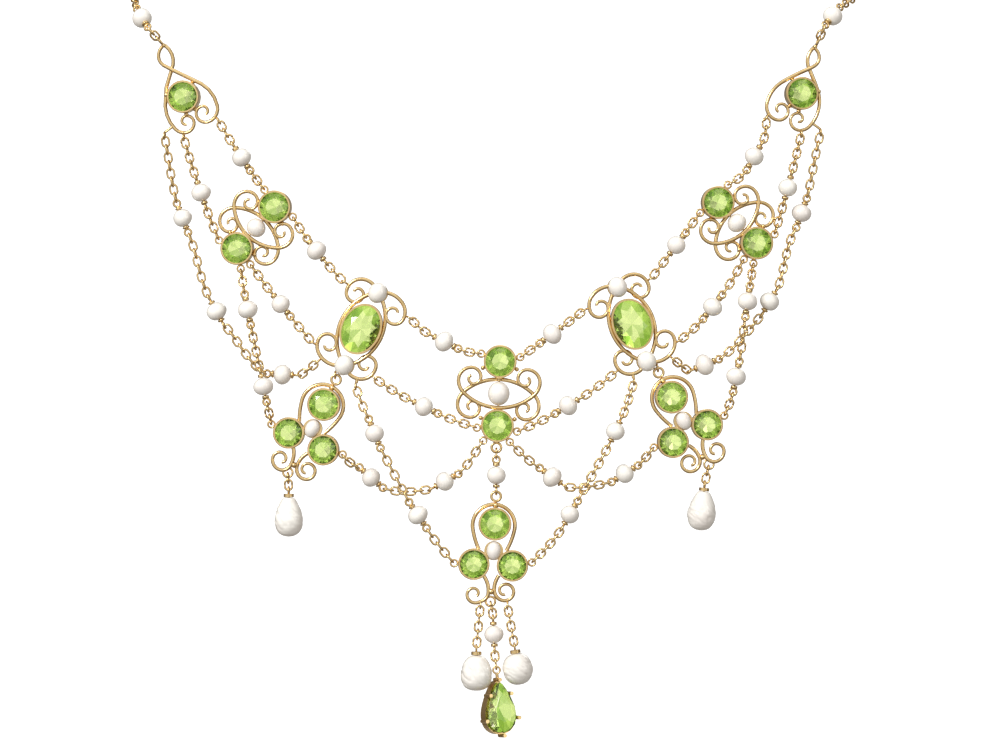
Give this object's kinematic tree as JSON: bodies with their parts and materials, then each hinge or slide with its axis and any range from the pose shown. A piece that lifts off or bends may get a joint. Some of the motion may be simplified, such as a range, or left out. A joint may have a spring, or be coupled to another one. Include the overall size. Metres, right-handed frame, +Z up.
{
  "type": "festoon necklace",
  "caption": "Gold festoon necklace worn round the neck, with scrolled wire plaques, collet-set green stones, pearls, rows of trace chain and hanging drops.",
  "frame": {"origin": "the nape: the middle of the clasp's inner side, where the necklace lies on the back of the neck", "axes": "+X to the right of someone looking at the front, -Y out of the front, +Z up"},
  "size_m": [0.138, 0.1167, 0.1615],
  "materials": {
    "gold": "polished warm yellow gold",
    "peridot": "faceted, bright yellow-green",
    "pearl": "lustrous cream"
  },
  "bodies": {
    "necklace": {"heart_frame_left": "gold", "heart_frame_right": "gold", "cluster_frame_left": "gold", "cluster_frame_right": "gold", "oval_frame_left": "gold", "oval_frame_right": "gold", "centre_frame": "gold", "side_pendant_frame_left": "gold", "side_pendant_frame_right": "gold", "centre_pendant_frame": "gold", "heart_stone_left": "peridot", "heart_stone_right": "peridot", "cluster_upper_stone_left": "peridot", "cluster_lower_stone_left": "peridot", "cluster_upper_stone_right": "peridot", "cluster_lower_stone_right": "peridot", "oval_stone_left": "peridot", "oval_stone_right": "peridot", "centre_upper_stone": "peridot", "centre_lower_stone": "peridot", "side_pendant_top_stone_left": "peridot", "side_pendant_inner_stone_left": "peridot", "side_pendant_outer_stone_left": "peridot", "side_pendant_top_stone_right": "peridot", "side_pendant_inner_stone_right": "peridot", "side_pendant_outer_stone_right": "peridot", "centre_pendant_top_stone": "peridot", "centre_pendant_left_stone": "peridot", "centre_pendant_right_stone": "peridot", "cluster_pearl_left": "pearl", "cluster_pearl_right": "pearl", "oval_top_pearl_left": "pearl", "oval_bottom_pearl_left": "pearl", "oval_top_pearl_right": "pearl", "oval_bottom_pearl_right": "pearl", "centre_pearl": "pearl", "side_pendant_pearl_left": "pearl", "side_pendant_pearl_right": "pearl", "centre_pendant_pearl": "pearl", "side_drop_pearl_left": "pearl", "side_drop_pearl_right": "pearl", "centre_drop_pearl_left": "pearl", "centre_drop_pearl_right": "pearl", "drop_caps": "gold", "upper_chain_left": "gold", "upper_chain_right": "gold", "second_chain_left": "gold", "second_chain_right": "gold", "pendant_chain_left": "gold", "pendant_chain_right": "gold", "swag_chains_left": "gold", "swag_chains_right": "gold", "centre_chains": "gold", "chain_pearls_left_and_centre": "pearl", "chain_pearls_right": "pearl", "neck_chain_left": "gold", "neck_chain_right": "gold", "clasp": "gold"},
    "pear_drop": {"pear_drop_setting": "gold", "pear_drop_stone": "peridot"}
  },
  "joints": [
    {"name": "pear_drop_swing", "type": "hinge", "parent": "necklace", "child": "pear_drop", "pos_m": [0.0001, -0.111, -0.14697], "axis": [1, 0, 0], "range_deg": [-45, 45]}
  ]
}
